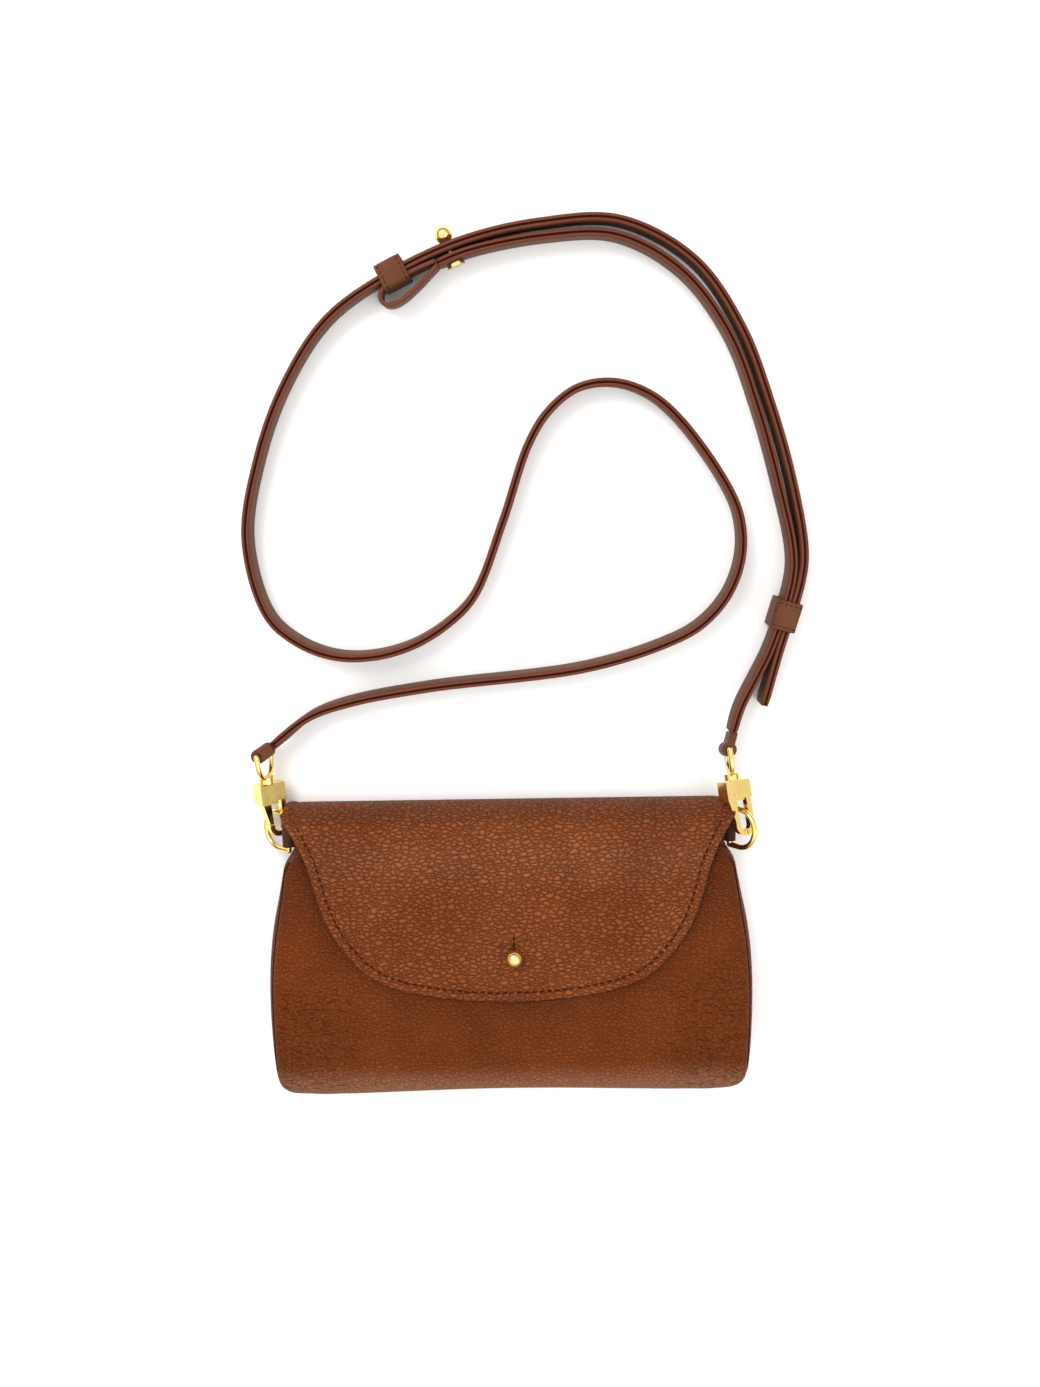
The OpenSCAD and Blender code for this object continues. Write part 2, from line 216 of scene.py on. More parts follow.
FLAP = leather("flap_leather_mat", srgb(137, 74, 39), srgb(123, 63, 31), srgb(62, 27, 12),
               cell=(370, 680, 540), depth=1.6, rough=0.48, cracks=0.52, spec=0.07)
BODY = leather("body_leather_mat", srgb(106, 49, 12), srgb(94, 42, 8), srgb(56, 22, 8),
               cell=(480, 700, 600), depth=0.6, rough=0.5, cracks=0.24, spec=0.08, wrinkles=0.6)
INSIDE = leather("inside_leather_mat", srgb(76, 40, 22), srgb(62, 32, 18), srgb(40, 20, 12),
                 cell=(700, 700, 700), depth=0.08)
STRAP = leather("strap_leather_mat", srgb(104, 63, 42), srgb(92, 52, 34), srgb(62, 32, 20),
                cell=(800, 800, 800), depth=0.08)
EDGE = plain("edge_paint_mat", srgb(104, 55, 38), srgb(88, 44, 29), 700, 0.5, spec=0.15)
SEAM = plain("seam_mat", srgb(62, 22, 14), srgb(44, 14, 9), 900, 0.7, spec=0.05)
THREAD = plain("thread_mat", srgb(74, 27, 14), srgb(50, 16, 8), 2500, 0.8, spec=0.05)
GOLD = plain("gold_mat", (0.93, 0.71, 0.27, 1), (0.88, 0.63, 0.20, 1), 900, 0.14,
             metallic=1.0, waves=0.12)
FLOOR = plain("floor_mat", (0.93, 0.93, 0.93, 1), (0.91, 0.91, 0.90, 1), 30, 0.9, spec=0.1)

# ---------------------------------------------------------------- camera
cam_data = bpy.data.cameras.new("camera")
cam = bpy.data.objects.new("camera", cam_data)
bpy.context.collection.objects.link(cam)
cam_data.sensor_width = 36
cam_data.lens = 34.86
cam_data.clip_start = 0.01
cam.matrix_world = (Matrix.Translation((0.00525, 0.20735, 0.530))
                    @ Matrix.Rotation(math.radians(-11.10), 4, "X")
                    @ Matrix.Rotation(math.radians(-0.85), 4, "Z"))
bpy.context.scene.camera = cam


# ---------------------------------------------------------------- mesh helpers
def smooth_step(x):
    x = min(1.0, max(0.0, x))
    return x * x * (3 - 2 * x)


def bell(distance, width):
    return math.exp(-(distance / width) ** 2)


def new_mesh(name, verts, faces, mats, face_mats=None):
    mesh = bpy.data.meshes.new(name)
    mesh.from_pydata([tuple(v) for v in verts], [], faces)
    mesh.update()
    for m in mats:
        mesh.materials.append(m)
    if face_mats is not None:
        mesh.polygons.foreach_set("material_index", face_mats)
    obj = bpy.data.objects.new(name, mesh)
    bpy.context.collection.objects.link(obj)
    smooth(obj)
    return obj


def smooth(obj):
    obj.data.polygons.foreach_set("use_smooth", [True] * len(obj.data.polygons))


def weld(obj, distance):
    """Join points closer than distance, and turn every face outwards."""
    bm = bmesh.new()
    bm.from_mesh(obj.data)
    bmesh.ops.remove_doubles(bm, verts=bm.verts, dist=distance)
    bmesh.ops.recalc_face_normals(bm, faces=bm.faces)
    bm.to_mesh(obj.data)
    bm.free()


def paint(obj, name, rule):
    """Attribute on the mesh's points, worked out by rule(x, y, z) in mm."""
    layer = obj.data.attributes.new(name, "FLOAT", "POINT")
    layer.data.foreach_set("value", [rule(*(v.co / MM)) for v in obj.data.vertices])


def run_along(line):
    """Distance from the start at each point of a line."""
    return np.concatenate([[0], np.cumsum(np.linalg.norm(np.diff(line, axis=0), axis=1))])


def spline(points, step):
    """Points step apart along a centripetal Catmull-Rom curve through the given ones."""
    parts = 24
    p = [np.array(q, float) for q in points]
    p = [2 * p[0] - p[1]] + p + [2 * p[-1] - p[-2]]
    out = []
    for a, b, c, d in zip(p, p[1:], p[2:], p[3:]):
        k = [0.0]
        for u, v in ((a, b), (b, c), (c, d)):
            k.append(k[-1] + max(1e-9, np.linalg.norm(v - u)) ** 0.5)
        for i in range(parts):
            t = k[1] + (k[2] - k[1]) * i / parts
            l1 = (k[1] - t) / (k[1] - k[0]) * a + (t - k[0]) / (k[1] - k[0]) * b
            l2 = (k[2] - t) / (k[2] - k[1]) * b + (t - k[1]) / (k[2] - k[1]) * c
            l3 = (k[3] - t) / (k[3] - k[2]) * c + (t - k[2]) / (k[3] - k[2]) * d
            m1 = (k[2] - t) / (k[2] - k[0]) * l1 + (t - k[0]) / (k[2] - k[0]) * l2
            m2 = (k[3] - t) / (k[3] - k[1]) * l2 + (t - k[1]) / (k[3] - k[1]) * l3
            out.append((k[2] - t) / (k[2] - k[1]) * m1 + (t - k[1]) / (k[2] - k[1]) * m2)
    out.append(p[-2])
    out = np.array(out)
    s = run_along(out)
    even = np.linspace(0, s[-1], max(2, int(round(s[-1] / step))) + 1)
    return np.stack([np.interp(even, s, out[:, i]) for i in range(3)], 1)


# ---------------------------------------------------------------- strap halves
LONG_ROUTE = [
    (-0.0917, 0.0868, 0.0096), (-0.0782, 0.097, 0.007), (-0.0632, 0.1023, 0.0061),
    (-0.0312, 0.108, 0.0061), (0.0308, 0.115, 0.0061), (0.0618, 0.124, 0.0061),
    (0.0763, 0.1315, 0.0061), (0.0868, 0.1435, 0.0061), (0.0918, 0.1585, 0.0061),
    (0.0908, 0.1735, 0.0061), (0.0848, 0.1868, 0.0061), (0.0678, 0.210, 0.0061),
    (0.0563, 0.2198, 0.0061), (0.0428, 0.2245, 0.0061), (0.0288, 0.2227, 0.0061),
    (0.0175, 0.214, 0.0061), (0.0098, 0.2018, 0.0061), (-0.0002, 0.1733, 0.0061),
    (-0.0122, 0.144, 0.0061), (-0.0232, 0.133, 0.0061), (-0.0369, 0.125, 0.0061),
    (-0.0519, 0.121, 0.0061), (-0.0672, 0.1213, 0.0061), (-0.0815, 0.127, 0.0061),
    (-0.0926, 0.1376, 0.0061), (-0.0995, 0.167, 0.0061), (-0.0937, 0.1967, 0.0061),
    (-0.0822, 0.2247, 0.0061), (-0.0648, 0.249, 0.0063), (-0.0398, 0.2652, 0.0076),
    (-0.0128, 0.2766, 0.007), (0.0154, 0.2825, 0.0061), (0.0448, 0.283, 0.0061),
    (0.0723, 0.2686, 0.0061), (0.0902, 0.2443, 0.0061), (0.1016, 0.2164, 0.0061),
    (0.1105, 0.1876, 0.0061), (0.1158, 0.160, 0.0068), (0.1147, 0.148, 0.0076),
    (0.1069, 0.121, 0.0076), (0.1016, 0.0992, 0.0062)]
SHORT_ROUTE = [
    (0.0886, 0.0892, 0.0114), (0.092, 0.099, 0.0089), (0.0981, 0.111, 0.0078),
    (0.1033, 0.122, 0.0076), (0.1111, 0.149, 0.0076), (0.1114, 0.160, 0.0068),
    (0.1054, 0.186, 0.0061), (0.0971, 0.2137, 0.0061), (0.0858, 0.2417, 0.0061),
    (0.0678, 0.2646, 0.0061), (0.0435, 0.2776, 0.0061), (0.0161, 0.2776, 0.0061),
    (-0.0115, 0.2726, 0.007), (-0.0232, 0.2683, 0.0073)]
STRAP_W = 0.012
STRAP_T = 0.0032
STRAP_STEP = 0.0022
ROLL_FADE = 0.03
END_SHRINK = (0.82, 0.96, 1.0)


def strap_section():
    """The two-layer strap's outline as (across, up, material), with a seam groove in both edges."""
    h, t = STRAP_W / 2, STRAP_T / 2
    corner = [(t, h - 0.9 * MM, 0), (t - 0.25 * MM, h - 0.25 * MM, 1), (t - 0.75 * MM, h, 1),
              (0.45 * MM, h - 0.1 * MM, 1), (0.22 * MM, h - 0.45 * MM, 2), (0.0, h - 0.9 * MM, 2)]
    top = corner + [(-x, z, m) for x, z, m in corner[-2::-1]]
    return top + [(-x, -z, m) for x, z, m in top]


def strap_mesh(name, route, roll=0.0):
    """Two-layer strap on its edge along a route; the roll, in degrees, fades out from its start."""
    path = spline(route, STRAP_STEP)
    section = strap_section()
    n = len(section)
    up_axis = np.array([0, 0, 1])
    verts = []
    for i, (p, v) in enumerate(zip(path, np.gradient(path, axis=0))):
        side = np.array([v[1], -v[0], 0.0])
        side /= np.linalg.norm(side)
        a = math.radians(roll) * max(0.0, 1 - i * STRAP_STEP / ROLL_FADE)
        across = side * math.cos(a) + up_axis * math.sin(a)
        up = -side * math.sin(a) + up_axis * math.cos(a)
        end = min(i, len(path) - 1 - i, 2)
        for x, z, _ in section:
            verts.append(p + across * x * END_SHRINK[end] + up * z * (0.93 + 0.07 * end / 2))
    faces, mats = [], []
    for i in range(len(path) - 1):
        for k in range(n):
            m = (k + 1) % n
            faces.append((i * n + k, i * n + m, (i + 1) * n + m, (i + 1) * n + k))
            here, there = section[k][2], section[m][2]
            mats.append(max(here, there) if here * there else 0)
    last = (len(path) - 1) * n
    faces += [tuple(range(n))[::-1], tuple(last + k for k in range(n))]
    mats += [1, 1]
    return new_mesh(name, verts, faces, [STRAP, EDGE, SEAM], mats), path


strap_long, long_path = strap_mesh("strap_long_leather", LONG_ROUTE, 8.0)
strap_short, short_path = strap_mesh("strap_short_leather", SHORT_ROUTE)
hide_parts("strap_long")
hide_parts("strap_short")
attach(strap_long, "bag")
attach(strap_short, "bag")

# ---------------------------------------------------------------- purse body, in mm
MOUTH_Y, BASE_Y = 45.0, -55.0
CORNER = 8.0
FRONT_COLUMNS = 25
BACK_COLUMNS = 12
SIDE_LINE = spline([(-55, 95.5, 0), (-47, 96.4, 0), (-36, 97.4, 0), (-18, 98, 0), (-4, 97.6, 0),
                    (11, 95.9, 0), (25, 93, 0), (32, 91.6, 0), (37.5, 90.4, 0), (41, 88, 0),
                    (44, 86.3, 0), (47, 86.1, 0)], 0.4)
BASE_RINGS = ((0.85, 0.2), (0.6, 0.35), (0.3, 0.4))


def side_half(y):
    """Half width of the body at height y."""
    return float(np.interp(y, SIDE_LINE[:, 0], SIDE_LINE[:, 1]))


def front_z(y):
    """Height of the front face at height y up the purse."""
    return 21 + (MOUTH_Y - y) * 0.1228


def body_section(y, pinch):
    """Right half of the outline at height y as (x, z, part), from front middle to back middle.

    The part is 0 on the front, 1 on the side and 2 on the back. A pinch of 0 has the outline drawn
    in by the base's rounding, and 1 has it in full.
    """
    r = CORNER * (1 - pinch)
    w, h = side_half(y) - r, front_z(y) - r * 0.85
    low = r * 0.75
    crown = 1.2 * smooth_step((y - BASE_Y) / 25) * smooth_step((MOUTH_Y - y) / 30)
    points = []
    for i in range(FRONT_COLUMNS + 1):
        f = i / FRONT_COLUMNS
        points.append(((w - 5.5) * f, h + crown * (1 - f ** 2.5), 0))
    bulge = 1.6 * smooth_step((36 - y) / 25) * (1 - 0.4 * smooth_step((-30 - y) / 20))
    mid = (h + low) / 2
    side = [(w - 3.4 - bulge * 0.4, h - 0.6), (w - 1.9 - bulge * 0.6, h - 1.8),
            (w - 1.5 - bulge * 0.7, h - 3.0), (w - 2.2 - bulge * 0.7, h - 4.0),
            (w - 1.2 - bulge * 0.2, h - 5.4), (w - 0.4, h - 8), (w, mid + 2), (w, mid - 2),
            (w - 0.4, low + 6), (w - 1.3, low + 3), (w - 3, low + 1), (w - 6, low + 0.3)]
    points += [(x, max(z, low + 0.1), 1) for x, z in side]
    for i in range(1, BACK_COLUMNS + 1):
        points.append(((w - 6) * (1 - i / BACK_COLUMNS), low + 0.25, 2))
    return points


def body_rows():
    """Closed outlines from the base up, and the number of the one at the mouth."""
    heights = [(BASE_Y, 0.0)]
    for k in range(1, 9):
        a = math.radians(90 * k / 8)
        heights.append((BASE_Y + CORNER * (1 - math.cos(a)), math.sin(a)))
    heights += [(y, 1.0) for y in np.arange(BASE_Y + CORNER + 2, MOUTH_Y, 2.2)]
    mouth = len(heights)
    heights += [(MOUTH_Y + rise, 1.0) for rise in (0, 4, 8, 12)]
    rows = []
    for y, pinch in heights:
        lift = 2.4 * smooth_step((y - 44) / 6)
        ring = []
        for x, z, part in body_section(min(y, MOUTH_Y), pinch):
            if y > MOUTH_Y and part < 2:
                z = min(z, 18.6 - (y - MOUTH_Y) * 0.12)
            ring.append((x, y, z if part < 2 else z + lift))
        rows.append(ring + [(-x, y, z) for x, y, z in ring[-2:0:-1]])
    return rows, mouth


def body_shell():
    """Points and faces of the shell: closed at the base, with the back alone above the mouth."""
    rows, mouth = body_rows()
    n = len(rows[0])
    half = n // 2 + 1
    front = FRONT_COLUMNS + 2
    verts = [v for ring in rows for v in ring]
    faces = []
    for i in range(len(rows) - 1):
        for k in range(n):
            m = (k + 1) % n
            if i >= mouth and (k < front or k >= n - front):
                continue
            faces.append((i * n + k, i * n + m, (i + 1) * n + m, (i + 1) * n + k))
    base = rows[0]
    heights = [p[2] for p in base]
    middle = (max(heights) + min(heights)) / 2
    ring = list(range(n))
    for f, drop in BASE_RINGS:
        start = len(verts)
        for x, y, z in base:
            verts.append((x * (1 - (1 - f) * 0.06), y - drop, middle + (z - middle) * f))
        for k in range(n):
            m = (k + 1) % n
            faces.append((start + k, start + m, ring[m], ring[k]))
        ring = [start + k for k in range(n)]
    for k in range(half - 1):
        quad = [ring[k], ring[k + 1], ring[(n - k - 1) % n], ring[(n - k) % n]]
        quad = list(dict.fromkeys(quad if k else quad[:3]))
        if len(quad) > 2:
            faces.append(tuple(quad[::-1]))
    return verts, faces


DENTS = [(rng.uniform(0.03, 0.09), rng.uniform(0.05, 0.12), rng.uniform(0, 6.28),
          rng.uniform(0.12, 0.28)) for _ in range(7)]


def sag(x, y, z):
    """Where a point of the shell ends up, in metres, after dents, puckered corners and base sag."""
    top = smooth_step((z - 12) / 12)
    inner = smooth_step((88 - abs(x)) / 25) * smooth_step((y + 57) / 18)
    dent = 0.0
    for fx, fy, phase, depth in DENTS:
        dent += depth * math.sin(x * fx + phase) * math.sin(y * fy + phase * 1.7)
    z += dent * top * inner
    corner = smooth_step((abs(x) - 62) / 25) * smooth_step((10 - y) / 30) * top
    ripple = 0.5 + 0.5 * math.sin(x * 0.33 + y * 0.27)
    z -= 1.1 * corner * ripple * smooth_step((94 - abs(x)) / 12)
    at_base = smooth_step((-50 - y) / 6)
    y -= 0.3 * smooth_step(abs(x) / 90) * at_base - 1.8 * smooth_step(1 - abs(x) / 80) * at_base
    return x * MM, y * MM, z * MM


verts, faces = body_shell()
body = new_mesh("body_shell_leather", [sag(*v) for v in verts], faces, [BODY, INSIDE])
weld(body, 1e-6)
paint(body, "corner", lambda x, y, z: smooth_step((abs(x) - 48) / 30) * smooth_step((14 - y) / 35)
      * smooth_step((z - 14) / 8))
# painted sheen: paler towards the base where the front rounds over, standing in for a highlight
paint(body, "painted_sheen", lambda x, y, z: 0.52 * smooth_step((-40 - y) / 12) * smooth_step((z - 12) / 8))
solid = body.modifiers.new("thickness", "SOLIDIFY")
solid.thickness = 1.5 * MM
solid.offset = -1
solid.material_offset = 1
solid.material_offset_rim = 0
sub = body.modifiers.new("soft", "SUBSURF")
sub.levels = sub.render_levels = 1
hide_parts("back_panel", "front_panel", "base_panel", "gusset_left", "gusset_right",
            "lining", "front_facing", "back_facing", "stud_patch")
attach(body, "bag")


def seam_line(side):
    """Points along the seam between the front leather and a gusset."""
    groove = FRONT_COLUMNS + 3
    points = []
    for y in np.arange(-44, 41, 3.0):
        x, z, _ = body_section(y, 1.0)[groove]
        points.append((side * (x + 0.1), y, z))
    return points


def tube(name, points, radius, mat):
    """Thin round line through points in mm."""
    curve = bpy.data.curves.new(name, "CURVE")
    curve.dimensions = "3D"
    curve.bevel_depth = radius * MM
    curve.bevel_resolution = 2
    line = curve.splines.new("POLY")
    path = spline(points, 1.5)
    line.points.add(len(path) - 1)
    for point, co in zip(line.points, path):
        point.co = (*(co * MM), 1)
    curve.materials.append(mat)
    obj = bpy.data.objects.new(name, curve)
    bpy.context.collection.objects.link(obj)
    return obj


for side, name in ((-1, "side_seam_left"), (1, "side_seam_right")):
    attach(tube(name, seam_line(side), 0.35, THREAD), "bag")

# ---------------------------------------------------------------- flap, in mm
FLAP_EDGE = [(92.5, 63), (90.8, 59), (87.4, 54.5), (84.2, 49.5), (79.8, 39), (75.8, 25), (73, 17.5),
             (69.4, 10.6), (63.4, 2.6), (55, -5), (45, -9.6), (34, -12.2), (22, -13.9),
             (11, -14.8), (0, -15.1)]
PROFILE = [(46, 0.9), (52, 0.9), (56.4, 1.1), (59.2, 3.2), (60.4, 8), (60.1, 13), (58.7, 17.2),
           (56.2, 20.6), (52.5, 22.6), (46, 23.5), (39, 24.2)]
FRONT_FROM = 47.0
FOLD_TOP = 17
FLAP_GAP = 2.35
HALF_T = 1.15
ROUNDING = 1.3
STITCH_INSET = 3.7
COLUMNS = 121
tongue = spline([(w, y, 0) for w, y in FLAP_EDGE], 1.0)


# painted shadow of the flap's edge on the front, and painted shade growing towards the mouth under
# the flap
def shade_of_flap(x, y, z):
    from_edge = np.min(np.hypot(tongue[:, 0] - abs(x), tongue[:, 1] - y))
    return 0.3 * bell(from_edge, 6) + 0.22 * smooth_step(y / 30)


# painted shadow and shade from the flap, fixed on the body
paint(body, "painted_shade", shade_of_flap)


def flap_rows():
    """Rows of (y, z, half width) from the back edge, over the fold, to the tongue's tip."""
    edge = spline([(w, y, 0) for w, y in FLAP_EDGE], 1.25)
    rows = []
    for _, y, z in spline([(0, y, z) for y, z in PROFILE], 1.3):
        w = float(np.interp(y, edge[::-1, 1], edge[::-1, 0]))
        if z < FOLD_TOP:
            w = 87.5 + 2.3 * smooth_step((z - 1) / 7)
        if z < FOLD_TOP or y > FRONT_FROM:
            rows.append((y, z, w))
    for w, y, _ in edge:
        if y <= FRONT_FROM:
            rows.append((y, front_z(y) + FLAP_GAP, max(0.02, float(w))))
    return rows


ROWS = flap_rows()
row_yz = np.array([(r[0], r[1]) for r in ROWS])
widths = np.array([r[2] for r in ROWS])
run_s = run_along(row_yz)
tangent = np.gradient(row_yz, axis=0)
tangent /= np.linalg.norm(tangent, axis=1)[:, None]
out_yz = np.stack([tangent[:, 1], -tangent[:, 0]], 1)
edge_line = np.concatenate([np.stack([widths, run_s], 1), np.stack([-widths, run_s], 1)[::-1]])
fine_edge = np.concatenate([a + (b - a) * np.linspace(0, 1, 6)[:-1, None]
                            for a, b in zip(edge_line, edge_line[1:])])


def flap_mesh():
    """Two faces that meet in a rounded edge; the outer one has a rolled rim and a stitch groove."""
    q = np.linspace(-1, 1, COLUMNS)
    u = np.sign(q) * (1 - (1 - np.abs(q)) ** 1.6)
    verts, faces = [], []
    for sign in (1, -1):
        for (y, z, w), (ny, nz), s in zip(ROWS, out_yz, run_s):
            xs = w * u
            here = np.stack([xs, np.full_like(xs, s)], 1)
            d = np.min(np.linalg.norm(here[:, None, :] - fine_edge[None], axis=2), 1)
            k = np.clip(d / ROUNDING, 0, 1)
            half = HALF_T * np.sqrt(np.clip(1 - (1 - k) ** 2, 0, 1))
            if sign > 0:
                half = half - 0.55 * np.exp(-((d - STITCH_INSET) / 0.8) ** 2) * (half > 0.5)
                half = half + 0.3 * np.exp(-((d - 1.9) / 1.0) ** 2)
            for x, h in zip(xs, half):
                verts.append((x, y + ny * h * sign, z + nz * h * sign))
    rows = len(ROWS)
    for side in (0, 1):
        for i in range(rows - 1):
            for j in range(COLUMNS - 1):
                a = (side * rows + i) * COLUMNS + j
                quad = (a, a + 1, a + COLUMNS + 1, a + COLUMNS)
                faces.append(quad if side else quad[::-1])
    mats = [0] * (len(faces) // 2) + [1] * (len(faces) // 2)
    return new_mesh("flap_leather", np.array(verts) * MM, faces, [FLAP, INSIDE], mats)


flap = flap_mesh()
weld(flap, 2e-5)
smooth(flap)

STUD_X = 1.5
HOLE_Y, HOLE_R = 2.9, 2.1
SLIT_Y, SLIT_W, SLIT_LONG = 6.6, 0.45, 8
CUT_DEEP = 12
CUT_TILT = (math.radians(-7), 0, 0)


def on_front(x, y, h):
    """Point h above the front face, in metres."""
    return Vector((x, y + h * 0.1219, front_z(y) + h * 0.9925)) * MM


def cut_buttonhole():
    """Cut a round hole, with a slit above it, through the flap."""
    bpy.ops.mesh.primitive_cylinder_add(vertices=40, radius=HOLE_R * MM, depth=CUT_DEEP * MM,
                                        location=on_front(STUD_X, HOLE_Y, 2.0), rotation=CUT_TILT)
    hole = bpy.context.object
    bpy.ops.mesh.primitive_cube_add(size=1, location=on_front(STUD_X, SLIT_Y, 2.0),
                                    rotation=CUT_TILT)
    slit = bpy.context.object
    slit.scale = (SLIT_W * MM, SLIT_LONG * MM, CUT_DEEP * MM)
    for tool in (hole, slit):
        cut = flap.modifiers.new("cut", "BOOLEAN")
        cut.operation = "DIFFERENCE"
        cut.object = tool
        cut.solver = "EXACT"
    bpy.context.view_layer.update()
    evaluated = flap.evaluated_get(bpy.context.evaluated_depsgraph_get())
    cut_mesh = bpy.data.meshes.new_from_object(evaluated)
    flap.modifiers.clear()
    flap.data = cut_mesh
    for tool in (hole, slit):
        bpy.data.objects.remove(tool)


cut_buttonhole()
# painted sheen across the flap's upper part
paint(flap, "painted_sheen", lambda x, y, z: 0.14 * bell(y - 42, 9))
# painted shade where the flap bends away over the fold
paint(flap, "painted_shade", lambda x, y, z: 0.16 * smooth_step((y - 54) / 4))
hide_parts("flap_outer", "flap_lining")
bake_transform(flap)


# ---------------------------------------------------------------- stitches, in mm
def inset_line(inset, first_row):
    """Line of (x, run) on the flap's outer face, inset from its edge, round from side to side."""
    line = [(widths[i], run_s[i]) for i in range(first_row, len(ROWS))]
    line = np.array(line + [(-w, s) for w, s in line[::-1]])
    d = np.gradient(line, axis=0)
    d /= np.maximum(1e-9, np.linalg.norm(d, axis=1))[:, None]
    inner = line + np.stack([d[:, 1], -d[:, 0]], 1) * -inset
    nearest = [np.min(np.linalg.norm(fine_edge - p, axis=1)) for p in inner]
    return np.array([p for p, gap in zip(inner, nearest) if gap > inset * 0.93])


def lift(x, s, h):
    """Point h above the flap's middle surface at (x, run s)."""
    y, z, ny, nz = (np.interp(s, run_s, column) for column in (*row_yz.T, *out_yz.T))
    return np.array([x, y + ny * h, z + nz * h])


def along(line, pitch):
    """Points pitch apart along a line."""
    s = run_along(line)
    at = np.arange(pitch, s[-1] - pitch / 2, pitch)
    return np.stack([np.interp(at, s, line[:, i]) for i in range(line.shape[1])], 1)


def thread_mesh(name, places, length, radius):
    """Many short round stitches as one mesh; places are (point, direction)."""
    sides = 6
    shape = ((-0.5, 0.25), (-0.38, 0.85), (0, 1.0), (0.38, 0.85), (0.5, 0.25))
    verts, faces = [], []
    for p, d in places:
        d = d / np.linalg.norm(d)
        a = np.cross(d, (0.1, 0.2, 1.0))
        a /= np.linalg.norm(a)
        b = np.cross(d, a)
        start = len(verts)
        for f, r in shape:
            for k in range(sides):
                t = k * math.pi / 3
                spoke = (a * math.cos(t) + b * math.sin(t)) * r * radius
                verts.append((p + d * f * length + spoke) * MM)
        for i in range(len(shape) - 1):
            low = start + i * sides
            for k in range(sides):
                m = (k + 1) % sides
                faces.append((low + k, low + m, low + sides + m, low + sides + k))
        last = start + (len(shape) - 1) * sides
        faces += [tuple(start + k for k in range(sides))[::-1],
                  tuple(last + k for k in range(sides))]
    return new_mesh(name, verts, faces, [THREAD])


STITCH, STITCH_PITCH = 2.1, 3.0
first = int(np.argmax((row_yz[:, 0] < 59) & (row_yz[:, 1] > FOLD_TOP)))
dots = along(inset_line(STITCH_INSET, first), STITCH_PITCH)
places = []
for before, dot, after in zip(dots, dots[1:], dots[2:]):
    places.append((lift(*dot, HALF_T - 0.22), lift(*after, HALF_T) - lift(*before, HALF_T)))
flap_thread = thread_mesh("flap_stitching", places, STITCH, 0.32)
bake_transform(flap_thread)

# the hem at the top of the front, where the flap leaves it bare
HEM_Y = 41.2
places = [(np.array([side * x, HEM_Y, front_z(HEM_Y) + 0.25]), np.array([1.0, 0, 0]))
          for side in (-1, 1) for x in np.arange(70, 84, STITCH_PITCH)]
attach(thread_mesh("hem_stitching", places, STITCH, 0.3), "bag")

# ---------------------------------------------------------------- keepers and the folded end
KEEPER_WALL = 1.25
KEEPER_TALL = 12.5
KEEPER_ROUND = 1.5
UPPER = {"centre": (-0.0398, 0.2652, 0.0076), "heading": 25.8, "low": -4, "high": 3.8,
         "length": 10.5}
LOWER = {"centre": (0.109, 0.135, 0.0076), "heading": 73.86, "low": -3.9, "high": 3.9,
         "length": 11.5}
RETURN_PATH = [(16, -3.4), (9, -2.9), (0, -2.8), (-5, -3.2), (-7.4, -4.8), (-8.2, -7), (-7, -9.4),
               (-4, -10.4), (0, -10.1), (6, -8.6), (16, -5.2)]


def loop_frame(centre, heading):
    """Matrix that takes (along, across, up) in mm round a strap keeper to metres."""
    return (Matrix.Translation(Vector(centre)) @ Matrix.Rotation(math.radians(heading), 4, "Z")
            @ Matrix.Scale(MM, 4))


def keeper_mesh(name, centre, heading, low, high, length):
    """Rounded leather sleeve round the straps; low and high are its inner span across them."""
    y0 = (high + low) / 2
    y1 = (high - low) / 2 + KEEPER_WALL / 2 - KEEPER_ROUND
    z1 = KEEPER_TALL / 2 + KEEPER_WALL / 2 - KEEPER_ROUND
    loop = []
    for cy, cz, start in ((y1, z1, 0), (-y1, z1, 90), (-y1, -z1, 180), (y1, -z1, 270)):
        for k in range(7):
            a = math.radians(start + 15 * k)
            loop.append((cy + KEEPER_ROUND * math.cos(a), cz + KEEPER_ROUND * math.sin(a),
                         math.cos(a), math.sin(a)))
    half, t = length / 2, KEEPER_WALL / 2
    # edges rounded over, and a stitch groove near both ends
    edge = [(half, -t + 0.3), (half, t - 0.35), (half - 0.35, t), (half - 1.0, t),
            (half - 1.3, t - 0.22), (half - 1.6, t)]
    section = ([(-s, n) for s, n in edge] + edge[::-1] + [(half - 0.3, -t), (-half + 0.3, -t)])
    to_world = loop_frame(centre, heading)
    verts = [to_world @ Vector((s, y0 + y + ny * n, z + nz * n))
             for y, z, ny, nz in loop for s, n in section]
    rows, m = len(loop), len(section)
    faces = [(i * m + k, i * m + (k + 1) % m, ((i + 1) % rows) * m + (k + 1) % m,
              ((i + 1) % rows) * m + k) for i in range(rows) for k in range(m)]
    return new_mesh(name, verts, faces, [STRAP])


def keeper_stitches(name, centre, heading, low, high, length):
    """Rows of stitches near both ends of a keeper's top face."""
    to_world = loop_frame(centre, heading)
    z = KEEPER_TALL / 2 + KEEPER_WALL - 0.2
    places = []
    for end in (-1, 1):
        for across in np.arange(low - 0.2, high + 0.3, 1.9):
            p = to_world @ Vector((end * (length / 2 - 1.3), across, z)) / MM
            q = to_world @ Vector((end * (length / 2 - 1.3), across + 1, z)) / MM
            places.append((np.array(p), np.array(q - p)))
    return thread_mesh(name, places, 1.3, 0.24)


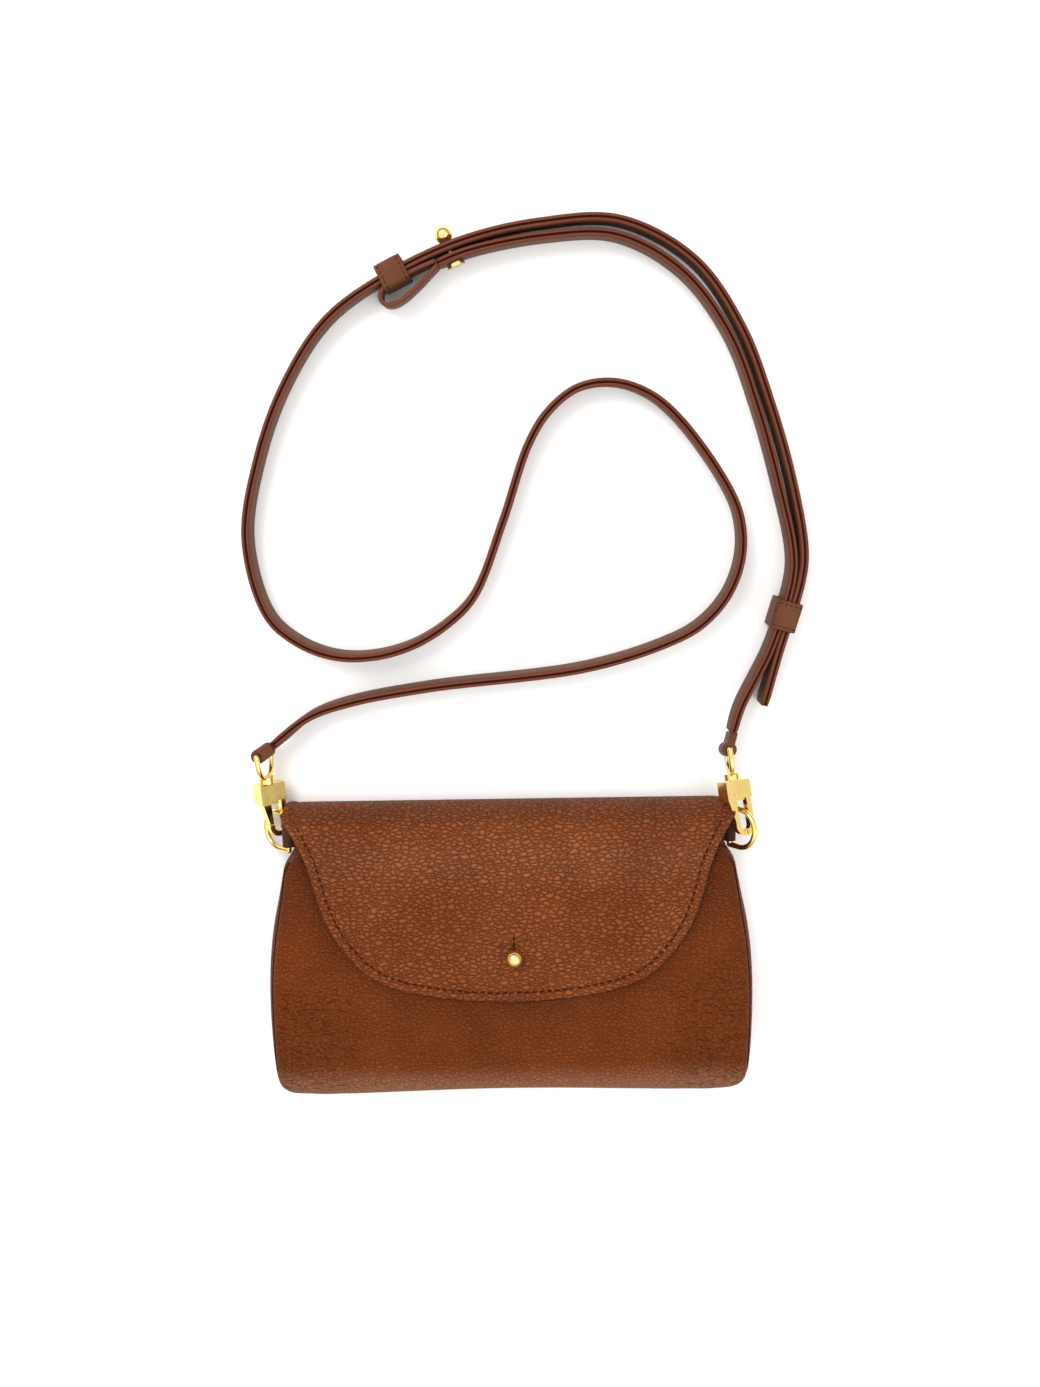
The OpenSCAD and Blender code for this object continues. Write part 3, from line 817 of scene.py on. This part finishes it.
def band_mesh(name, points, centre, heading, thick):
    """Single leather layer on its edge along a flat path round a keeper."""
    path = spline([(x, y, 0) for x, y in points], 0.8)
    h, t, ease = 5.95, thick / 2, 0.35
    section = [(t, -h + 0.5), (t, h - 0.5), (t - ease, h), (-t + ease, h), (-t, h - 0.5),
               (-t, -h + 0.5), (-t + ease, -h), (t - ease, -h)]
    to_world = loop_frame(centre, heading)
    verts = []
    for p, v in zip(path, np.gradient(path, axis=0)):
        side = np.array([v[1], -v[0]]) / np.hypot(v[0], v[1])
        verts += [to_world @ Vector((p[0] + side[0] * a, p[1] + side[1] * a, z))
                  for a, z in section]
    m, rows = len(section), len(path)
    faces = [(i * m + k, i * m + (k + 1) % m, (i + 1) * m + (k + 1) % m, (i + 1) * m + k)
             for i in range(rows - 1) for k in range(m)]
    faces += [tuple(range(m))[::-1], tuple((rows - 1) * m + k for k in range(m))]
    mats = [1 if k in (1, 2, 3) else 0 for _ in range(rows - 1) for k in range(m)] + [0, 0]
    return new_mesh(name, verts, faces, [STRAP, EDGE], mats)


upper = keeper_mesh("keeper_upper_leather", **UPPER)
lower = keeper_mesh("keeper_lower_leather", **LOWER)
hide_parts("keeper_upper")
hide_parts("keeper_lower")
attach(upper, "bag")
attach(lower, "keeper")
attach(keeper_stitches("keeper_upper_stitches", **UPPER), "bag")
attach(keeper_stitches("keeper_lower_stitches", **LOWER), "keeper")
folded = band_mesh("return_loop_leather", RETURN_PATH, UPPER["centre"], UPPER["heading"], 1.6)
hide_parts("return_loop")
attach(folded, "bag")

# ---------------------------------------------------------------- CAD pieces that show
GOLD_KINDS = ("ring", "eye", "hook", "gate", "stud", "strap_stud")
GOLD_NODES = [n for n in nodes if n.startswith(GOLD_KINDS) and n != "stud_patch"]
LEATHER_NODES = ["end_loop_left", "end_loop_right", "tab_left", "tab_right"]


def dress(name, mat, width):
    """Give a CAD node its material, and round its edges by width mm."""
    obj = nodes[name]
    for slot in obj.material_slots:
        slot.material = mat
    if width:
        bevel = obj.modifiers.new("soft_edges", "BEVEL")
        bevel.width = width * MM
        bevel.segments = 3
        bevel.limit_method = "ANGLE"
        bevel.angle_limit = math.radians(40)
    smooth(obj)


for name in GOLD_NODES:
    width = 0.9 if name.startswith("hook") else 0.0
    if name in ("gate_left", "gate_right"):
        width = 0.3
    dress(name, GOLD, width)
for name in LEATHER_NODES:
    dress(name, INSIDE if name.startswith("tab") else STRAP, 0.45)

# ---------------------------------------------------------------- stage
bpy.ops.mesh.primitive_plane_add(size=40, location=(0, 0.1, -0.0002))
floor = bpy.context.object
floor.name = "floor"
floor.data.materials.append(FLOOR)

# a sky that is darker at the horizon and bright overhead, so that the metal has something to show
SKY = ((0.2, 0.24), (0.75, 1.0))
SKY_STRENGTH = 1.35
world = bpy.data.worlds.new("world")
bpy.context.scene.world = world
world.use_nodes = True
sky = world.node_tree
split = sky.nodes.new("ShaderNodeSeparateXYZ")
sky.links.new(sky.nodes.new("ShaderNodeTexCoord").outputs["Generated"], split.inputs[0])
fade = sky.nodes.new("ShaderNodeValToRGB")
for stop, (at, level) in zip(fade.color_ramp.elements, SKY):
    stop.position = at
    stop.color = (level, level * 0.99, level * 0.98, 1)
sky.links.new(split.outputs["Z"], fade.inputs["Fac"])
sky.links.new(fade.outputs["Color"], sky.nodes["Background"].inputs["Color"])
sky.nodes["Background"].inputs["Strength"].default_value = SKY_STRENGTH


def area_light(name, loc, size, power, aim=(0, 0.1, 0)):
    light = bpy.data.lights.new(name, "AREA")
    light.size = size
    light.energy = power
    obj = bpy.data.objects.new(name, light)
    obj.location = loc
    obj.rotation_euler = (Vector(aim) - Vector(loc)).to_track_quat("-Z", "Y").to_euler()
    bpy.context.collection.objects.link(obj)


area_light("key", (-0.5, 0.9, 1.1), size=0.7, power=12.5)
area_light("fill", (0.9, -0.5, 1.2), size=1.0, power=7)
bpy.context.scene.view_settings.view_transform = "Standard"
